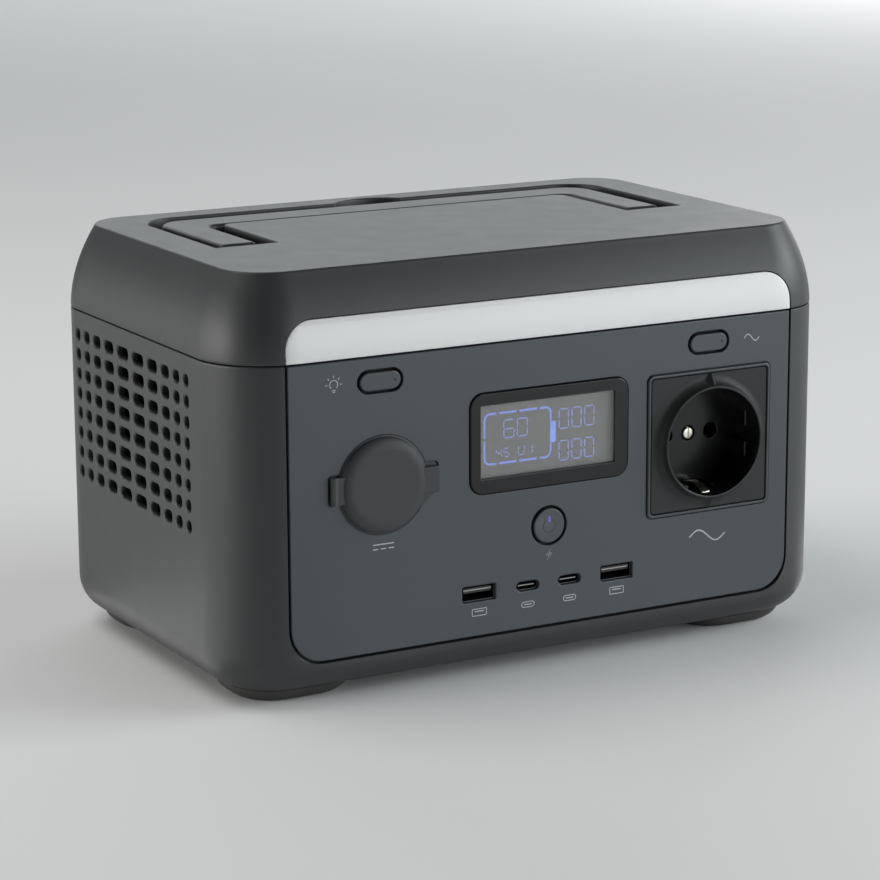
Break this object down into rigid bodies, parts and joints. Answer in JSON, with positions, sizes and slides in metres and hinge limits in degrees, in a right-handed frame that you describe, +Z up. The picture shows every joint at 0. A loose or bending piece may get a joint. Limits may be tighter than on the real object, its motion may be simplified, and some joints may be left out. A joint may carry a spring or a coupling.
{
  "type": "portable power station",
  "caption": "Boxy portable power station with a fold-flat handle, front light bar, display, earthed AC socket, capped 12 V socket, USB ports and side vents.",
  "frame": {"origin": "centre of the bounding box's base, on the plane of the feet", "axes": "+X to the right seen from the front, +Y from the front panel to the back, +Z up"},
  "size_m": [0.24, 0.1576, 0.1471],
  "materials": {
    "shell_plastic": "fine matte texture",
    "panel_plastic": "satin blue-grey",
    "socket_plastic": "semi-gloss",
    "bezel_plastic": "gloss",
    "button_plastic": "satin",
    "lens_plastic": "frosted translucent white",
    "window_glass": "clear",
    "lcd": "grey display",
    "cap_rubber": "matte",
    "foot_rubber": "matte",
    "steel": "bright",
    "dark_steel": "black zinc",
    "brass": "bright",
    "spring_metal": "nickel plated",
    "black_plastic": "matte",
    "board": "solder mask",
    "led_board": "white mask",
    "battery": "shrink-wrapped cells",
    "heatsink": "extruded",
    "copper_core": "wound copper on ferrite"
  },
  "bodies": {
    "case": {"lower_shell": "shell_plastic", "upper_lid": "shell_plastic", "handle_pin_left": "steel", "handle_pin_right": "steel", "front_panel": "panel_plastic", "light_bar_lens": "lens_plastic", "led_strip_board": "led_board", "led_light_switch": "black_plastic", "ac_output_switch": "black_plastic", "power_switch": "black_plastic", "display_bezel": "bezel_plastic", "display_window": "window_glass", "lcd_module": "lcd", "ac_socket_bezel": "panel_plastic", "ac_socket_body": "socket_plastic", "ac_socket_screw": "brass", "earth_clip_top": "spring_metal", "earth_clip_bottom": "spring_metal", "ac_contact_left": "brass", "ac_contact_right": "brass", "dc_socket_barrel": "steel", "dc_centre_contact": "brass", "charge_inlet_housing": "black_plastic", "charge_inlet_pin": "spring_metal", "front_io_board": "board", "battery_tray": "black_plastic", "battery_pack": "battery", "bms_board": "board", "inverter_board": "board", "inverter_heatsink": "heatsink", "inverter_transformer": "copper_core", "inverter_capacitor_1": "black_plastic", "inverter_capacitor_2": "black_plastic", "cooling_fan_frame": "black_plastic", "foot_front_left": "foot_rubber", "case_screw_front_left": "dark_steel", "foot_front_right": "foot_rubber", "case_screw_front_right": "dark_steel", "foot_rear_left": "foot_rubber", "case_screw_rear_left": "dark_steel", "foot_rear_right": "foot_rubber", "case_screw_rear_right": "dark_steel", "usb_a1_shell": "steel", "usb_a1_tongue": "black_plastic", "usb_a2_shell": "steel", "usb_a2_tongue": "black_plastic", "usb_c1_shell": "steel", "usb_c1_tongue": "black_plastic", "usb_c2_shell": "steel", "usb_c2_tongue": "black_plastic"},
    "handle": {"carry_handle": "shell_plastic"},
    "led_light_key": {"led_light_button": "button_plastic"},
    "ac_output_key": {"ac_output_button": "button_plastic"},
    "power_key": {"power_button": "button_plastic"},
    "dc_cap": {"dc_socket_cap": "cap_rubber"},
    "fan": {"fan_rotor": "black_plastic"}
  },
  "joints": [
    {"name": "handle_hinge", "type": "hinge", "parent": "case", "child": "handle", "pos_m": [0, 0.0023, 0.1421], "axis": [1, 0, 0], "range_deg": [0, 90]},
    {"name": "dc_cap_hinge", "type": "hinge", "parent": "case", "child": "dc_cap", "pos_m": [-0.0832, -0.0757, 0.0738], "axis": [0, 0, -1], "range_deg": [0, 110]},
    {"name": "led_light_press", "type": "slide", "parent": "case", "child": "led_light_key", "axis": [0, 1, 0], "range_m": [0, 0.001], "stiffness_N_per_m": 500, "springref_m": -0.0004},
    {"name": "ac_output_press", "type": "slide", "parent": "case", "child": "ac_output_key", "axis": [0, 1, 0], "range_m": [0, 0.001], "stiffness_N_per_m": 500, "springref_m": -0.0004},
    {"name": "power_press", "type": "slide", "parent": "case", "child": "power_key", "axis": [0, 1, 0], "range_m": [0, 0.001], "stiffness_N_per_m": 500, "springref_m": -0.0004},
    {"name": "fan_spin", "type": "hinge", "parent": "case", "child": "fan", "pos_m": [0.1065, 0.0063, 0.0835], "axis": [1, 0, 0], "continuous": true}
  ]
}
